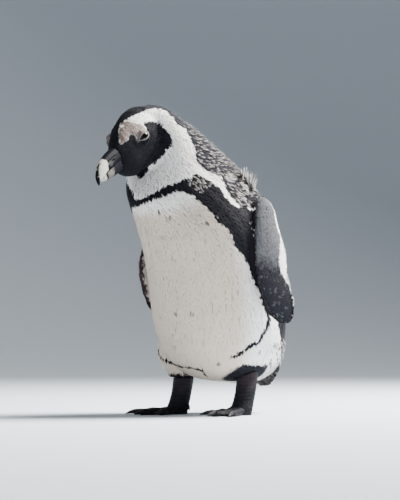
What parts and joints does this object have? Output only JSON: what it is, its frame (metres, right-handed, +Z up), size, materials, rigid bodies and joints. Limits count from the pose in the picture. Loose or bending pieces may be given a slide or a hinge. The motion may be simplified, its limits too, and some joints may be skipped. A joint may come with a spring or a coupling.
{
  "type": "african penguin",
  "caption": "Life-size African penguin as a still model: standing hunched in late moult, neck stretched forward and low, bill pointing down, flippers hanging.",
  "frame": {"origin": "on the floor, under the middle of the whole bird's bounding box", "axes": "+Z is up, -Y is the way the bird faces and +X is the bird's left"},
  "size_m": [0.1898, 0.2692, 0.3536],
  "materials": {
    "body_plumage": "soft overlapping feathers, matt",
    "dark_plumage": "short dense feathers, slight sheen",
    "bill_horn": "worn horn, satin",
    "claw": "worn horn, satin",
    "foot_skin": "scaly skin, matt",
    "eye": "wet, high gloss"
  },
  "bodies": {
    "root": {"trunk": "body_plumage", "neck": "body_plumage", "head": "dark_plumage", "bill_upper": "bill_horn", "bill_lower": "bill_horn", "eye_left": "eye", "eye_right": "eye", "flipper_left": "dark_plumage", "flipper_right": "dark_plumage", "tail": "dark_plumage", "thigh_right": "body_plumage", "thigh_left": "body_plumage", "foot_right": "foot_skin", "foot_left": "foot_skin", "claw_inner_right": "claw", "claw_middle_right": "claw", "claw_outer_right": "claw", "claw_hind_right": "claw", "claw_inner_left": "claw", "claw_middle_left": "claw", "claw_outer_left": "claw", "claw_hind_left": "claw"}
  },
  "joints": []
}
